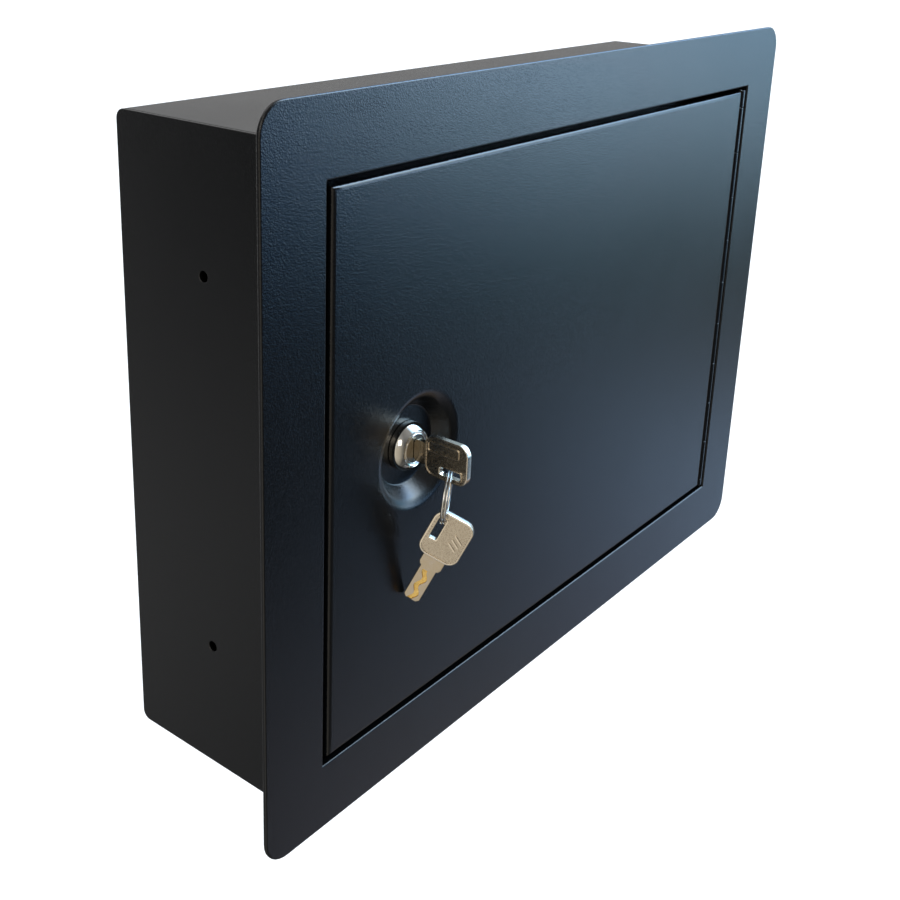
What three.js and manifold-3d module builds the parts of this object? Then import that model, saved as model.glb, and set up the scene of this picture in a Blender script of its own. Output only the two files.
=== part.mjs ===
// A recessed wall safe of folded sheet steel: a shallow case that stands between two wall studs,
// a flange that covers the cut edge of the wall board, and a flush door on a continuous hinge,
// held by a key-operated cam lock. A second key hangs on a split ring from the key in the lock.
//
// Millimetres. +X is to the right seen from the room, +Y goes into the wall and +Z is up.
// The origin is the middle of the wall surface, on the back face of the flange.
import * as THREE from "three";
import { mergeVertices } from "three/addons/utils/BufferGeometryUtils.js";
import Module from "manifold-3d";

const wasm = await Module();
wasm.setup();

// ---- driving dimensions ----------------------------------------------------------------------
const GAP = 0.3; // between solids that touch or nearly touch on the real safe
const CUT = 1; // how far a cutting solid runs past the faces it cuts

// case
const FLANGE = { width: 400, height: 300, thick: 2, corner: 11.5 };
const OPENING = { width: 336, height: 240 };
const CASE = { width: 364, height: 270, depth: 93, sheet: 1.5, bend: 4 };
const JAMB = { depth: 23, sheet: 1.5, lip: 6 };
const SEAM = 0.2; // welded seams between the case's sheets
const REBATE = 0.2; // the case's front edge sits this deep in the back of the flange
const FIXING_HOLE = { radius: 2.25, y: 46.4, z: 78.5 };

// door, a tray folded from one sheet
const DOOR = { left: -165, right: 161.4, height: 235, depth: 18, sheet: 1.5, bend: 3 };

// continuous hinge in the gap on the right
const HINGE = { x: 164.7, y: 1, length: 236, knuckle: 3, pin: 1.4, bore: 1.7 };
const LEAF = { thick: 1.2, reach: 14 };
const HINGE_PITCH = 24.7;
const HINGE_FIRST = 9.4; // the strip is cut from stock, so its first knuckle is a short one

// cam lock, in a round dish pressed into the door; its faces are given as y
const LOCK_X = -111.5;
const FACE_Y = -FLANGE.thick; // the front of the flange and of the door
const DISH = { rim: 23, floor: 17.2, depth: 8, soften: 6 };
const HEAD = { rim: 10.25, capY: 4.4, rimY: 5.7, boss: 8.2, bossY: 2.6 };
const CAP = { radius: 9.5, face: 6.6, faceY: 0, skin: 0.6 };
const BARREL = { radius: 8, flat: 6.9, end: 22.2 };
const PLUG = { radius: 5.6, end: 20.4, tail: 3.4, tailEnd: 26 };
const KEYWAY_SPARE = 1.2; // depth of the keyway past the blade's tip
const WAFER = { count: 5, first: 3.4, pitch: 2.9, thick: 0.8, width: 5.4, height: 10.2, rub: 0.1 };
const SPRING = { x: 3.7, reach: 1.8, radius: 0.42, wire: 0.12, turns: 4, pocket: 0.8 };
const WASHER = { radius: 11, thick: 1 };
const NUT = { across: 22, thick: 4.5 };
const STOP = { radius: 7.2, lug: 9.6, lugHalf: 3 };
const CAM = { front: 23.6, thick: 2.2, reach: 64.5, half: 8, tip: 5.5 };
const CAM_WASHER = { radius: 6, thick: 0.8 };
const CAM_SCREW = { shank: 1.7, length: 7, head: 3.6, headHeight: 2.4 };
const RECESS = { half: 2, slot: 0.4, depth: 1.2 }; // the cross in the screw's head

// keys; along the key, 0 is the step between collar and blade, and the bow is on the + side
const KEY = { bowLength: 21.5, bowWidth: 17.6, bowCorner: 4.6, bowThick: 2.6 };
const COLLAR = { width: 9.8, length: 5.2 };
const BLADE = { width: 7, length: 17, thick: 2.2 };
const TIP = 1.2; // chamfer at the blade's tip
const SLOT = { width: 3.2, length: 10.2, offset: -5, fromEnd: 3.4, corner: 0.8 };
const PANEL = { width: 9.4, offset: 2.5, margin: 1.7, corner: 2.6, depth: 0.25 };
const TRACK = { half: 0.8, sway: 0.9, waves: 1.6, stopsAt: -1.6, depth: 0.6, steps: 18 };
const KEY_LENGTH = COLLAR.length + KEY.bowLength; // from the step to the far end of the bow
const KEY_STEP_Y = CAP.faceY - GAP / 3; // where the step of the key in the lock stops

// split ring, and how the second key hangs on it
const RING = { radius: 10.4, wire: 0.55, pitch: 1.22, jog: 0.5, blunt: 0.12, play: 0.45 };
const RING_TURN = 31;
const RING_LEAN = 4.5;
const RING_FROM_SLOT_END = 6; // along the key in the lock
const SPARE = { facing: -62, tilt: 25 };

// ---- materials -------------------------------------------------------------------------------
const material = (color, roughness, metalness) =>
  new THREE.MeshStandardMaterial({ color, roughness, metalness });
const black = material(0x14171b, 0.5, 0.1);
const steel = material(0x8d9094, 0.35, 1);
const zinc = material(0xb5b3aa, 0.4, 1);
const chrome = material(0xd8d6d0, 0.12, 1);
const nickel = material(0xb9b2a4, 0.3, 1);
const brass = material(0xc8a458, 0.3, 1);

// ---- solids ----------------------------------------------------------------------------------
// A closed geometry as a manifold-3d solid, turned the right way out.
function solid(geometry) {
  const bare = new THREE.BufferGeometry();
  bare.setAttribute("position", geometry.getAttribute("position"));
  bare.setIndex(geometry.index);
  const merged = mergeVertices(bare, 1e-4);
  const corners = [];
  for (let i = 0; i < merged.index.count; i += 3) {
    const [a, b, c] = [0, 1, 2].map((k) => merged.index.getX(i + k));
    if (a !== b && b !== c && c !== a) corners.push(a, b, c);
  }
  const build = (triVerts) =>
    new wasm.Manifold(
      new wasm.Mesh({
        numProp: 3,
        vertProperties: merged.attributes.position.array,
        triVerts: new Uint32Array(triVerts),
      }),
    );
  const made = build(corners);
  return made.volume() > 0 ? made : build(corners.reverse());
}

// A box between two values on each axis.
function box(x0, x1, y0, y1, z0, z1) {
  const geometry = new THREE.BoxGeometry(x1 - x0, y1 - y0, z1 - z0);
  return solid(geometry.translate((x0 + x1) / 2, (y0 + y1) / 2, (z0 + z1) / 2));
}

const flat = (shape, depth, curveSegments) =>
  new THREE.ExtrudeGeometry(shape, { depth, bevelEnabled: false, curveSegments });

// An outline drawn in x and z, pushed along y.
function alongY(shape, y0, y1, segments = 8) {
  return solid(flat(shape, y1 - y0, segments).rotateX(Math.PI / 2).translate(0, y1, 0));
}

// An outline drawn in y and z, pushed along x.
function alongX(shape, x0, x1, segments = 8) {
  const turn = new THREE.Matrix4().makeBasis(
    new THREE.Vector3(0, 1, 0),
    new THREE.Vector3(0, 0, 1),
    new THREE.Vector3(1, 0, 0),
  );
  return solid(flat(shape, x1 - x0, segments).applyMatrix4(turn).translate(x0, 0, 0));
}

// An outline drawn in x and y, pushed along z.
function alongZ(shape, z0, z1, segments = 8) {
  return solid(flat(shape, z1 - z0, segments).translate(0, 0, z0));
}

// A profile of [radius, y] points turned about the lock's axis.
function turned(points, segments = 48) {
  const profile = points.map(([r, y]) => new THREE.Vector2(r, y));
  return solid(new THREE.LatheGeometry(profile, segments).translate(LOCK_X, 0, 0));
}

const disc = (radius, y0, y1, segments = 40) =>
  turned([[0, y0], [radius, y0], [radius, y1], [0, y1]], segments);

function tube(outer, inner, y0, y1, segments = 40) {
  return turned([[inner, y0], [outer, y0], [outer, y1], [inner, y1], [inner, y0]], segments);
}

// A cylinder along z at the hinge's axis.
function hingeCylinder(radius, z0, z1, sides = 20) {
  const geometry = new THREE.CylinderGeometry(radius, radius, z1 - z0, sides);
  return solid(geometry.rotateX(Math.PI / 2).translate(HINGE.x, HINGE.y, (z0 + z1) / 2));
}

// A rectangle about (cx, cy) with rounded corners.
function roundedRectangle(width, height, corner, cx = 0, cy = 0) {
  const [w, h, r] = [width / 2, height / 2, corner];
  const shape = new THREE.Shape();
  shape.absarc(cx + w - r, cy - h + r, r, -Math.PI / 2, 0);
  shape.absarc(cx + w - r, cy + h - r, r, 0, Math.PI / 2);
  shape.absarc(cx - w + r, cy + h - r, r, Math.PI / 2, Math.PI);
  shape.absarc(cx - w + r, cy - h + r, r, Math.PI, 1.5 * Math.PI);
  shape.closePath();
  return shape;
}

function polygon(points) {
  return new THREE.Shape(points.map(([u, v]) => new THREE.Vector2(u, v)));
}

// A named mesh of a solid.
function piece(name, made, finish) {
  const raw = made.getMesh();
  const geometry = new THREE.BufferGeometry();
  geometry.setAttribute("position", new THREE.BufferAttribute(raw.vertProperties, 3));
  geometry.setIndex(new THREE.BufferAttribute(raw.triVerts, 1));
  const mesh = new THREE.Mesh(geometry, finish);
  mesh.name = name;
  return mesh;
}

// ---- case ------------------------------------------------------------------------------------
// The case's side outline: square at the front, bent at the back.
function caseOutline(inset) {
  const [h, back] = [CASE.height / 2 - inset, CASE.depth - inset];
  const r = CASE.bend - inset;
  const outline = new THREE.Shape();
  outline.absarc(back - r, -h + r, r, -Math.PI / 2, 0);
  outline.absarc(back - r, h - r, r, 0, Math.PI / 2);
  outline.lineTo(0, h);
  outline.lineTo(0, -h);
  outline.closePath();
  return outline;
}

// Top, back and bottom in one folded sheet.
function bodyWrapper() {
  const half = CASE.width / 2 - CASE.sheet - SEAM;
  const outer = alongX(caseOutline(0), -half, half);
  const inner = alongX(caseOutline(CASE.sheet), -half - CUT, half + CUT);
  const rise = CASE.height / 2 - CASE.sheet;
  const mouth = box(-half - CUT, half + CUT, -CUT, CUT, -rise, rise);
  return piece("body_wrapper", outer.subtract(inner).subtract(mouth), black);
}

// A side wall, with the two holes for the screws into the stud.
function sidePanel(name, side) {
  const outside = (side * CASE.width) / 2;
  const inside = outside - side * CASE.sheet;
  const [x0, x1] = [Math.min(outside, inside), Math.max(outside, inside)];
  let panel = alongX(caseOutline(0), x0, x1);
  for (const z of [-FIXING_HOLE.z, FIXING_HOLE.z]) {
    const { radius, y } = FIXING_HOLE;
    const drill = new THREE.CylinderGeometry(radius, radius, 2 * (CASE.sheet + CUT), 24);
    panel = panel.subtract(solid(drill.rotateZ(Math.PI / 2).translate(outside, y, z)));
  }
  return piece(name, panel, black);
}

// The flange with the jambs folded back around the opening, and the door's stop on three sides.
function frontFrame() {
  const [w, h] = [OPENING.width / 2, OPENING.height / 2];
  const plate = alongY(
    roundedRectangle(FLANGE.width, FLANGE.height, FLANGE.corner),
    FACE_Y,
    0,
  );
  const [rw, rh] = [CASE.width / 2 + GAP, CASE.height / 2 + GAP];
  const flange = plate.subtract(box(-rw, rw, -REBATE, CUT, -rh, rh));
  const t = JAMB.sheet;
  const sleeve = box(-w - t, w + t, FACE_Y / 2, JAMB.depth, -h - t, h + t);
  const stopAt = JAMB.depth - t;
  const doorway = box(-w, w, FACE_Y - CUT, stopAt, -h, h);
  const { lip, depth } = JAMB;
  const behindStop = box(-w + lip, w, stopAt - CUT, depth + CUT, -h + lip, h - lip);
  return piece("front_frame", flange.add(sleeve).subtract(doorway).subtract(behindStop), black);
}

// ---- hinge -----------------------------------------------------------------------------------
// The heights at which one knuckle ends and the next begins, from the top down.
function knuckleBreaks() {
  const [top, bottom] = [HINGE.length / 2, -HINGE.length / 2];
  const breaks = [top];
  for (let z = top - HINGE_FIRST; z > bottom; z -= HINGE_PITCH) breaks.push(z);
  return [...breaks, bottom];
}

// The knuckles of one leaf, as [low, high] spans, each kept clear of its neighbours.
function knuckleSpans(first) {
  const breaks = knuckleBreaks();
  const spans = [];
  for (let i = first; i + 1 < breaks.length; i += 2) {
    spans.push([breaks[i + 1] + GAP / 2, breaks[i] - GAP / 2]);
  }
  return spans;
}

// One leaf: a strip along the jamb or the door, notched around the other leaf's knuckles.
function hingeLeaf(name, first, side) {
  const half = HINGE.length / 2;
  const outer = HINGE.x + side * HINGE.knuckle;
  const inner = outer - side * LEAF.thick;
  const [x0, x1] = [Math.min(outer, inner), Math.max(outer, inner)];
  let leaf = box(x0, x1, HINGE.y, HINGE.y + LEAF.reach, -half, half);
  for (const [low, high] of knuckleSpans(1 - first)) {
    leaf = leaf.subtract(hingeCylinder(HINGE.knuckle + GAP, low - GAP, high + GAP));
  }
  for (const [low, high] of knuckleSpans(first)) {
    leaf = leaf.add(hingeCylinder(HINGE.knuckle, low, high));
  }
  return piece(name, leaf.subtract(hingeCylinder(HINGE.bore, -half - CUT, half + CUT)), black);
}

function hingePin() {
  const half = HINGE.length / 2;
  return piece("hinge_pin", hingeCylinder(HINGE.pin, -half, half), steel);
}

// ---- door ------------------------------------------------------------------------------------
// A block whose four front edges are bent, shrunk by inset on every side but the open back.
function doorBlock(inset) {
  const [left, right] = [DOOR.left + inset, DOOR.right - inset];
  const [h, front, back] = [DOOR.height / 2 - inset, FACE_Y + inset, FACE_Y + DOOR.depth + inset];
  const r = DOOR.bend - inset;
  const plan = new THREE.Shape();
  plan.absarc(left + r, front + r, r, Math.PI, 1.5 * Math.PI);
  plan.absarc(right - r, front + r, r, -Math.PI / 2, 0);
  plan.lineTo(right, back);
  plan.lineTo(left, back);
  plan.closePath();
  const section = new THREE.Shape();
  section.absarc(front + r, -h + r, r, 1.5 * Math.PI, Math.PI, true);
  section.absarc(front + r, h - r, r, Math.PI, 0.5 * Math.PI, true);
  section.lineTo(back, h);
  section.lineTo(back, -h);
  section.closePath();
  return alongZ(plan, -h, h).intersect(alongX(section, left, right));
}

// The dish's front surface: a soft outer edge, a cone and a crisp inner corner.
function dishFront() {
  const points = [];
  const steps = 5;
  const slope = Math.atan2(DISH.depth, DISH.rim - DISH.floor);
  for (let i = 0; i <= steps; i += 1) {
    const a = (slope * i) / steps;
    points.push([
      DISH.rim + DISH.soften * (Math.tan(slope / 2) - Math.sin(a)),
      FACE_Y + DISH.soften * (1 - Math.cos(a)),
    ]);
  }
  points.push([DISH.floor, FACE_Y + DISH.depth]);
  return points;
}

function doorPanel() {
  const tray = doorBlock(0).subtract(doorBlock(DOOR.sheet));
  const front = dishFront();
  const edge = front[0][0];
  const floor = FACE_Y + DISH.depth;
  const t = DOOR.sheet;
  const widen = t / 2; // keeps the cone about one sheet thick
  const back = front.map(([r, y]) => [r + widen, y + t]);
  back[0] = [edge, FACE_Y + t];
  const hole = BARREL.radius + GAP;
  const profile = [...front, [hole, floor], [hole, floor + t], ...back.reverse(), front[0]];
  const dish = turned(profile, 48);
  const bite = disc(edge, FACE_Y - CUT, FACE_Y + t + CUT, 48);
  return piece("door_panel", tray.subtract(bite).add(dish), black);
}

// ---- cam lock --------------------------------------------------------------------------------
// The die-cast housing: head, and barrel with two flats, bored for the plug.
function lockHousing() {
  const head = disc(HEAD.rim, HEAD.capY, HEAD.rimY);
  const middle = (HEAD.capY + HEAD.rimY) / 2;
  const boss = disc(HEAD.boss, HEAD.bossY, middle);
  const { radius, flat: half, end } = BARREL;
  const flats = box(LOCK_X - half, LOCK_X + half, middle, end, -radius, radius);
  const barrel = disc(radius, middle, end).intersect(flats);
  const bore = disc(PLUG.radius + GAP, HEAD.bossY - CUT, end + CUT);
  return piece("lock_housing", head.add(boss).add(barrel).subtract(bore), zinc);
}

// The domed chrome cap pressed over the head, with a round window for the plug's face.
function lockCap() {
  const steps = 5;
  const { radius, face, faceY, skin } = CAP;
  const arc = (inset) => {
    const rise = HEAD.capY - GAP - faceY - inset;
    const points = [];
    for (let i = 0; i <= steps; i += 1) {
      const a = (Math.PI / 2) * (i / steps);
      points.push([
        face - inset + (radius - face) * Math.sin(a),
        faceY + inset + rise * (1 - Math.cos(a)),
      ]);
    }
    return points;
  };
  const window = [PLUG.radius + GAP, faceY];
  const outer = arc(0);
  const inner = arc(skin).reverse();
  const profile = [window, ...outer, ...inner, [PLUG.radius + GAP, faceY + skin], window];
  return piece("lock_cap", turned(profile, 40), chrome);
}

// How far into the plug each wafer is.
function waferStations() {
  return Array.from({ length: WAFER.count }, (_, i) => WAFER.first + i * WAFER.pitch);
}

// The plug: a face flush with the cap, a keyway, slots for the wafers and a square tail.
function lockPlug() {
  const body = disc(PLUG.radius, CAP.faceY + GAP, PLUG.end);
  const t = PLUG.tail;
  const tail = box(LOCK_X - t, LOCK_X + t, PLUG.end - CUT, PLUG.tailEnd, -t, t);
  const [w, h] = [BLADE.thick / 2 + GAP, BLADE.width / 2 + GAP];
  const keyway = box(LOCK_X - w, LOCK_X + w, -CUT, BLADE.length + KEYWAY_SPARE, -h, h);
  let plug = body.add(tail).subtract(keyway);
  const [ww, wh] = [WAFER.width / 2 + GAP, PLUG.radius + CUT];
  for (const y of waferStations()) {
    const s = WAFER.thick / 2 + GAP;
    plug = plug.subtract(box(LOCK_X - ww, LOCK_X + ww, y - s, y + s, -wh, wh));
    const { pocket, reach, x } = SPRING;
    const drill = new THREE.CylinderGeometry(pocket, pocket, 2 * (reach + GAP), 12);
    plug = plug.subtract(solid(drill.rotateX(Math.PI / 2).translate(LOCK_X + x, y, 0)));
  }
  const end = PLUG.tailEnd;
  const thread = disc(CAM_SCREW.shank + GAP, end - CAM_SCREW.length, end + CUT, 20);
  return piece("lock_plug", plug.subtract(thread), brass);
}

// A small plate across the plug, with a window that the blade passes through.
function wafer(index, y) {
  const [w, h, t] = [WAFER.width / 2, WAFER.height / 2, WAFER.thick / 2];
  const round = disc(PLUG.radius - WAFER.rub, y - t, y + t);
  const plate = box(LOCK_X - w, LOCK_X + w, y - t, y + t, -h, h).intersect(round);
  const [bw, bh] = [BLADE.thick / 2 + GAP, BLADE.width / 2 + GAP];
  const window = box(LOCK_X - bw, LOCK_X + bw, y - CUT, y + CUT, -bh, bh);
  return piece(`wafer_${index + 1}`, plate.subtract(window), brass);
}

// A fine coil spring in a pocket beside each wafer, which pushes it outwards.
class CoilCurve extends THREE.Curve {
  getPoint(t, target = new THREE.Vector3()) {
    const angle = 2 * Math.PI * SPRING.turns * t;
    const rise = SPRING.reach * (2 * t - 1);
    return target.set(SPRING.radius * Math.cos(angle), SPRING.radius * Math.sin(angle), rise);
  }
}

function waferSpring(index, y) {
  const wire = new THREE.Shape();
  wire.absarc(0, 0, SPRING.wire, 0, 2 * Math.PI);
  const coil = new THREE.ExtrudeGeometry(wire, {
    steps: SPRING.turns * 8,
    curveSegments: 2,
    bevelEnabled: false,
    extrudePath: new CoilCurve(),
  });
  return piece(`wafer_spring_${index + 1}`, solid(coil.translate(LOCK_X + SPRING.x, y, 0)), steel);
}

function lockWasher() {
  const y0 = FACE_Y + DISH.depth + DOOR.sheet + GAP;
  const ring = tube(WASHER.radius, BARREL.radius + GAP, y0, y0 + WASHER.thick);
  return piece("lock_washer", ring, steel);
}

function hexagon(across) {
  const r = across / Math.sqrt(3);
  return polygon(
    Array.from({ length: 6 }, (_, i) => [
      LOCK_X + r * Math.cos((i * Math.PI) / 3),
      r * Math.sin((i * Math.PI) / 3),
    ]),
  );
}

function lockNut() {
  const y0 = FACE_Y + DISH.depth + DOOR.sheet + WASHER.thick + 2 * GAP;
  const y1 = y0 + NUT.thick;
  const thread = disc(BARREL.radius + GAP, y0 - CUT, y1 + CUT);
  return piece("lock_nut", alongY(hexagon(NUT.across), y0, y1).subtract(thread), steel);
}

// The stop washer turns with the square tail, in front of the cam.
function stopWasher() {
  const s = PLUG.tail + GAP;
  const y0 = BARREL.end + GAP;
  const y1 = CAM.front - GAP;
  const hole = box(LOCK_X - s, LOCK_X + s, y0 - CUT, y1 + CUT, -s, s);
  const lug = box(LOCK_X - STOP.lugHalf, LOCK_X + STOP.lugHalf, y0, y1, 0, STOP.lug);
  return piece("stop_washer", disc(STOP.radius, y0, y1).add(lug).subtract(hole), steel);
}

// The cam hangs straight down when the lock is open.
function lockCam() {
  const outline = new THREE.Shape();
  outline.absarc(LOCK_X, 0, CAM.half, 0, Math.PI);
  outline.absarc(LOCK_X, -CAM.reach + CAM.tip, CAM.tip, Math.PI, 2 * Math.PI);
  outline.closePath();
  const s = PLUG.tail + GAP;
  const [y0, y1] = [CAM.front, CAM.front + CAM.thick];
  const hole = box(LOCK_X - s, LOCK_X + s, y0 - CUT, y1 + CUT, -s, s);
  return piece("lock_cam", alongY(outline, y0, y1, 10).subtract(hole), steel);
}

function camWasher() {
  const y0 = PLUG.tailEnd + GAP;
  const { radius, thick } = CAM_WASHER;
  return piece("cam_washer", tube(radius, CAM_SCREW.shank + GAP, y0, y0 + thick, 32), steel);
}

// A pan-head screw with a cross recess, in the end of the plug's tail.
function camScrew() {
  const under = PLUG.tailEnd + 2 * GAP + CAM_WASHER.thick;
  const { head, headHeight, shank, length } = CAM_SCREW;
  const top = under + headHeight;
  const round = headHeight / 2;
  const profile = [[0, under], [head, under]];
  for (const a of [0, Math.PI / 4, Math.PI / 2]) {
    profile.push([head - round * (1 - Math.cos(a)), top - round * (1 - Math.sin(a))]);
  }
  const crown = turned([...profile, [0, top]], 32);
  const stem = disc(shank, PLUG.tailEnd - length + GAP, under + headHeight / 4, 20);
  const { half, slot, depth } = RECESS;
  const arm = (x, z) => box(LOCK_X - x, LOCK_X + x, top - depth, top + CUT, -z, z);
  return piece("cam_screw", crown.add(stem).subtract(arm(half, slot).add(arm(slot, half))), steel);
}

// ---- keys ------------------------------------------------------------------------------------
// A wavy channel for the wafers, milled along the blade, as an outline.
function trackOutline() {
  const { half, sway, waves, stopsAt, steps } = TRACK;
  const start = -BLADE.length - CUT;
  const centre = (y) => sway * Math.sin((y / BLADE.length) * waves * 2 * Math.PI);
  const left = [];
  const right = [];
  for (let i = 0; i <= steps; i += 1) {
    const y = start + ((stopsAt - start) * i) / steps;
    left.push([centre(y) - half, y]);
    right.push([centre(y) + half, y]);
  }
  return polygon([...right, ...left.reverse()]);
}

// One key, flat in x and y: the blade points to -y, and the slot is on the -x side of the bow.
function keySolid() {
  const bowMiddle = COLLAR.length + KEY.bowLength / 2;
  const bow = roundedRectangle(KEY.bowWidth, KEY.bowLength, KEY.bowCorner, 0, bowMiddle);
  const slotMiddle = KEY_LENGTH - SLOT.fromEnd - SLOT.length / 2;
  const slot = roundedRectangle(SLOT.width, SLOT.length, SLOT.corner, SLOT.offset, slotMiddle);
  const tb = KEY.bowThick / 2;
  const [t, w, c] = [BLADE.thick / 2, BLADE.width / 2, COLLAR.width / 2];
  const end = -BLADE.length;
  const top = COLLAR.length + CUT;
  const shank = polygon([
    [-c, top], [-c, 0], [-w, 0], [-w, end + TIP], [-w + TIP, end],
    [w - TIP, end], [w, end + TIP], [w, 0], [c, 0], [c, top],
  ]);
  let key = alongZ(bow, -tb, tb, 6).add(alongZ(shank, -t, t));
  key = key.subtract(alongZ(slot, -tb - CUT, tb + CUT, 4));
  // the track along the blade, and a shallow plain panel beside the slot, on both faces
  const track = trackOutline();
  const panelLength = KEY.bowLength - 2 * PANEL.margin;
  const panel = roundedRectangle(PANEL.width, panelLength, PANEL.corner, PANEL.offset, bowMiddle);
  for (const [outline, depth, face] of [[track, TRACK.depth, t], [panel, PANEL.depth, tb]]) {
    key = key.subtract(alongZ(outline, face - depth, face + CUT));
    key = key.subtract(alongZ(outline, -face - CUT, depth - face));
  }
  return key;
}

// The key in the lock: its blade points into the door and its slot is the lower one.
function keyInLock() {
  const mesh = piece("key_in_lock", keySolid(), nickel);
  const stands = new THREE.Matrix4().makeBasis(
    new THREE.Vector3(0, 0, 1),
    new THREE.Vector3(0, -1, 0),
    new THREE.Vector3(1, 0, 0),
  );
  mesh.quaternion.setFromRotationMatrix(stands);
  mesh.position.set(LOCK_X, KEY_STEP_Y, 0);
  return mesh;
}

// Where the ring rests in the first key's slot.
const HANG = new THREE.Vector3(
  LOCK_X,
  CAP.faceY - KEY_LENGTH + SLOT.fromEnd + RING_FROM_SLOT_END,
  SLOT.offset - SLOT.width / 2 + RING.play,
);
const RING_INNER = RING.radius - RING.wire;
const { degToRad } = THREE.MathUtils;
const RING_LIE = new THREE.Euler(degToRad(RING_LEAN), 0, degToRad(RING_TURN), "ZXY");

// Two coils of wire side by side, joined by a short jog.
class SplitRingCurve extends THREE.Curve {
  getPoint(t, target = new THREE.Vector3()) {
    const { radius, pitch, jog, blunt } = RING;
    const angle = jog + blunt + t * (4 * Math.PI - jog - 2 * blunt);
    const across = THREE.MathUtils.smoothstep(angle - 2 * Math.PI, 0, jog);
    const side = pitch * (across - 0.5);
    return target.set(radius * Math.cos(angle), side, radius * Math.sin(angle));
  }
}

function keyRing() {
  const wire = new THREE.Shape();
  wire.absarc(0, 0, RING.wire, 0, 2 * Math.PI);
  const geometry = new THREE.ExtrudeGeometry(wire, {
    steps: 64,
    curveSegments: 4,
    bevelEnabled: false,
    extrudePath: new SplitRingCurve(),
  });
  const mesh = piece("key_ring", solid(geometry), steel);
  mesh.position.z = -RING_INNER;
  const hung = new THREE.Group();
  hung.rotation.copy(RING_LIE);
  hung.position.copy(HANG);
  hung.add(mesh);
  return hung;
}

// The second key hangs by the far end of its slot, leaning because the slot is to one side.
function spareKey() {
  const mesh = piece("spare_key", keySolid(), nickel);
  mesh.position.set(-SLOT.offset, -(KEY_LENGTH - SLOT.fromEnd), 0);
  const lean = new THREE.Group();
  lean.rotation.z = degToRad(-SPARE.tilt);
  lean.add(mesh);
  const upright = new THREE.Group();
  upright.rotation.x = Math.PI / 2;
  upright.add(lean);
  const hanger = new THREE.Group();
  hanger.rotation.z = degToRad(SPARE.facing);
  const lowest = new THREE.Vector3(0, 0, -2 * RING_INNER).applyEuler(RING_LIE);
  hanger.position.copy(HANG).add(lowest);
  hanger.position.z += RING.play;
  hanger.add(upright);
  return hanger;
}

// ---- assembly --------------------------------------------------------------------------------
function assemble(...members) {
  const group = new THREE.Group();
  group.add(...members);
  return group;
}

const caseGroup = assemble(
  bodyWrapper(),
  sidePanel("side_panel_left", -1),
  sidePanel("side_panel_right", 1),
  frontFrame(),
  hingeLeaf("hinge_leaf_frame", 0, 1),
  hingePin(),
);
const plugGroup = assemble(
  lockPlug(),
  ...waferStations().flatMap((y, i) => [wafer(i, y), waferSpring(i, y)]),
  stopWasher(),
  lockCam(),
  camWasher(),
  camScrew(),
);
const doorGroup = assemble(
  doorPanel(),
  hingeLeaf("hinge_leaf_door", 1, -1),
  lockHousing(),
  lockCap(),
  lockWasher(),
  lockNut(),
  plugGroup,
);

export default assemble(caseGroup, doorGroup, keyInLock(), keyRing(), spareKey());
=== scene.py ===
"""Looks of a recessed wall safe: camera, lights, materials and the fine surface of each piece."""
import math

import bmesh
import bpy
from mathutils import Matrix, Vector


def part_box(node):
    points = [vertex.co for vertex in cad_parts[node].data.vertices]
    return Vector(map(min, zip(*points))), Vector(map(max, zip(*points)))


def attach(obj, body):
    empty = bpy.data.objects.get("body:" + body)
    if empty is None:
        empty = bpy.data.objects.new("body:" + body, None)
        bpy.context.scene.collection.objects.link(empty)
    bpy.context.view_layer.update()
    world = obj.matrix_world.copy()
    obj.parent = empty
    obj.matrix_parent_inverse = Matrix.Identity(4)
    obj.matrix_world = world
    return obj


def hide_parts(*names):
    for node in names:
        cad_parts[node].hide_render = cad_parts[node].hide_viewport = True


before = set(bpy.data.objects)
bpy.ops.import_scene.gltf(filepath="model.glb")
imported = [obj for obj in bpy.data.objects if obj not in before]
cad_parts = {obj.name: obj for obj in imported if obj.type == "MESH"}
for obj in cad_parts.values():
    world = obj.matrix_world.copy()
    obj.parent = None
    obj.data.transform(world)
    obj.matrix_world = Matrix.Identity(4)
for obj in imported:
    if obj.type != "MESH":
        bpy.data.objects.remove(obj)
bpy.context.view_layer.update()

# ---- sizes, in millimetres -------------------------------------------------------------------
MM = 0.001
UP = Vector((0, 0, 1))


def box_mm(node):
    low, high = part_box(node)
    return low / MM, high / MM


# case and flange
FRAME_LOW, FRAME_HIGH = box_mm("front_frame")
SIDE_LOW, SIDE_HIGH = box_mm("side_panel_left")
WRAP_LOW, WRAP_HIGH = box_mm("body_wrapper")
FACE_Y = FRAME_LOW.y
SHEET = SIDE_HIGH.x - SIDE_LOW.x
FLANGE_CORNER = 11.5
OPENING = Vector((168, 0, 120))
STOP_LIP = 6
CASE_BEND = 4
FIXING_HOLE = {"radius": 2.25, "y": 46.4, "z": 78.5}

# door and its dish
DOOR_LOW, DOOR_HIGH = box_mm("door_panel")
DOOR_BEND = 2
DISH = {"rim": 23, "floor": 17.2, "depth": 8, "soften": 6, "corner": 0.9, "flat_from": 32}

# lock
CAP_LOW, CAP_HIGH = box_mm("lock_cap")
HOUSING_LOW, HOUSING_HIGH = box_mm("lock_housing")
LOCK_X = (CAP_LOW.x + CAP_HIGH.x) / 2
BARREL = 8
BARREL_FLAT = 6.9
LOCK_BORE = 5.9
HEAD_RADIUS = (HOUSING_HIGH.x - HOUSING_LOW.x) / 2
BOSS = 8.2
RIM = {"radius": HEAD_RADIUS - 0.95, "front": 4.4, "back": 5.7}
CAP = {"face": 7.2, "skin": 0.6, "groove": 0.65, "groove_depth": 0.4}
# the cap's bevel and rolled edge: a slope off the face and its turn per step, in degrees
CROWN = {"slope": 38, "turn": 1.6, "step": 0.28, "steps": 12}
ROLL = {"slope": 60, "turn": 6, "step": 0.2, "steps": 6}

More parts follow.
